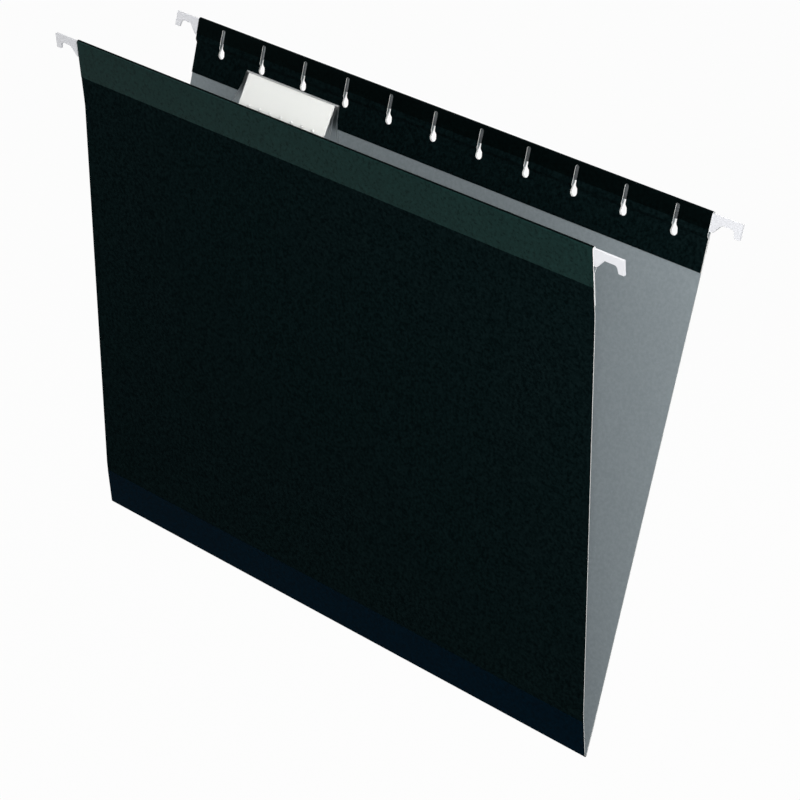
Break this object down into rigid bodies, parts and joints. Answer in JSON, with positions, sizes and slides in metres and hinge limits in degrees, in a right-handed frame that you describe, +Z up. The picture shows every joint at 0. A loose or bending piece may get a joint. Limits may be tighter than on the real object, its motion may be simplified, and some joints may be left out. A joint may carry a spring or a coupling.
{
  "type": "hanging file folder",
  "caption": "Letter-size hanging file folder hung open in a V, with hemmed tops over hooked rods, keyhole slots and a clear index tab with a white label.",
  "frame": {"origin": "under the middle of the bottom fold, at the lowest point of the crease", "axes": "+X along the fold to the viewer's right, -Y towards the front panel, +Z up"},
  "size_m": [0.3284, 0.0739, 0.2438],
  "materials": {
    "two_tone_paper": "matte, black outside and grey inside",
    "clear_film": "satin film over black paper",
    "glue": "dried glue",
    "rod_steel": "rolled",
    "hook_coating": "satin white coating",
    "clear_plastic": "clear",
    "white_card": "matte"
  },
  "bodies": {
    "front": {"front_sheet": "two_tone_paper", "front_top_film": "clear_film", "front_bottom_film": "clear_film", "front_hem_glue": "glue", "front_rod": "rod_steel", "front_left_hook": "hook_coating", "front_right_hook": "hook_coating", "bottom_fold": "clear_film"},
    "back": {"back_sheet": "two_tone_paper", "back_top_film": "clear_film", "back_bottom_film": "clear_film", "back_hem_glue": "glue", "back_rod": "rod_steel", "back_left_hook": "hook_coating", "back_right_hook": "hook_coating"},
    "tab": {"index_tab": "clear_plastic"},
    "label": {"tab_label": "white_card"}
  },
  "joints": [
    {"name": "fold_hinge", "type": "hinge", "parent": "front", "child": "back", "pos_m": [0, 0, 0.00065], "axis": [-1, 0, 0], "range_deg": [-13.8, 151], "deforming": ["bottom_fold"]},
    {"name": "tab_tilt", "type": "hinge", "parent": "front", "child": "tab", "pos_m": [-0.02645, -0.03386, 0.22431], "axis": [-1, 0, 0], "range_deg": [-10, 10]},
    {"name": "label_slide", "type": "slide", "parent": "tab", "child": "label", "axis": [1, 0, 0], "range_m": [0, 0.058]}
  ]
}
